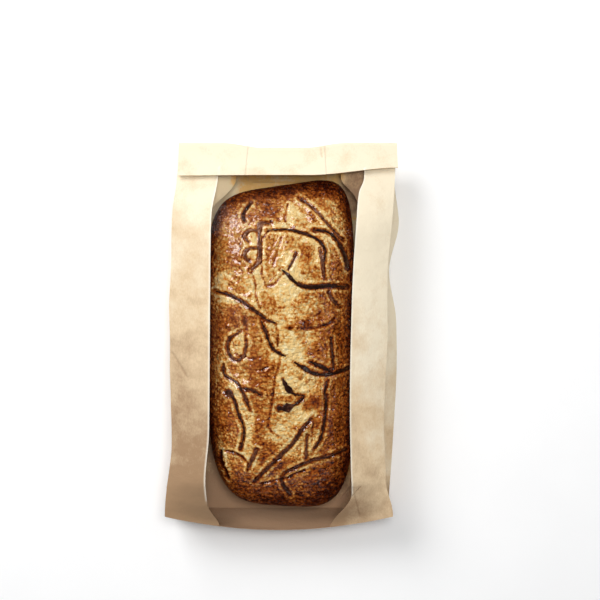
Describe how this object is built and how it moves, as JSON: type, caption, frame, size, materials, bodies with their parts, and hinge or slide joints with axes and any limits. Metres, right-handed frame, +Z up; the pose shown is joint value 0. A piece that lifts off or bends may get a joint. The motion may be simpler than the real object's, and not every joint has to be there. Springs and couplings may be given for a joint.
{
  "type": "onion asiago bread",
  "caption": "Onion asiago loaf with a browned cheese crust and roasted onion strips, lying in a folded brown paper bakery bag with a clear window.",
  "frame": {"origin": "centre of the bounding box at the underside of the bag's back panel", "axes": "+Y along the bag towards its folded top, +Z up through the window, away from the surface it lies on"},
  "size_m": [0.1944, 0.3195, 0.0687],
  "materials": {
    "crust": "satin",
    "brown_paper": "matte",
    "clear_film": "gloss"
  },
  "bodies": {
    "root": {"loaf": "crust", "bag": "brown_paper", "window_film": "clear_film"}
  },
  "joints": []
}
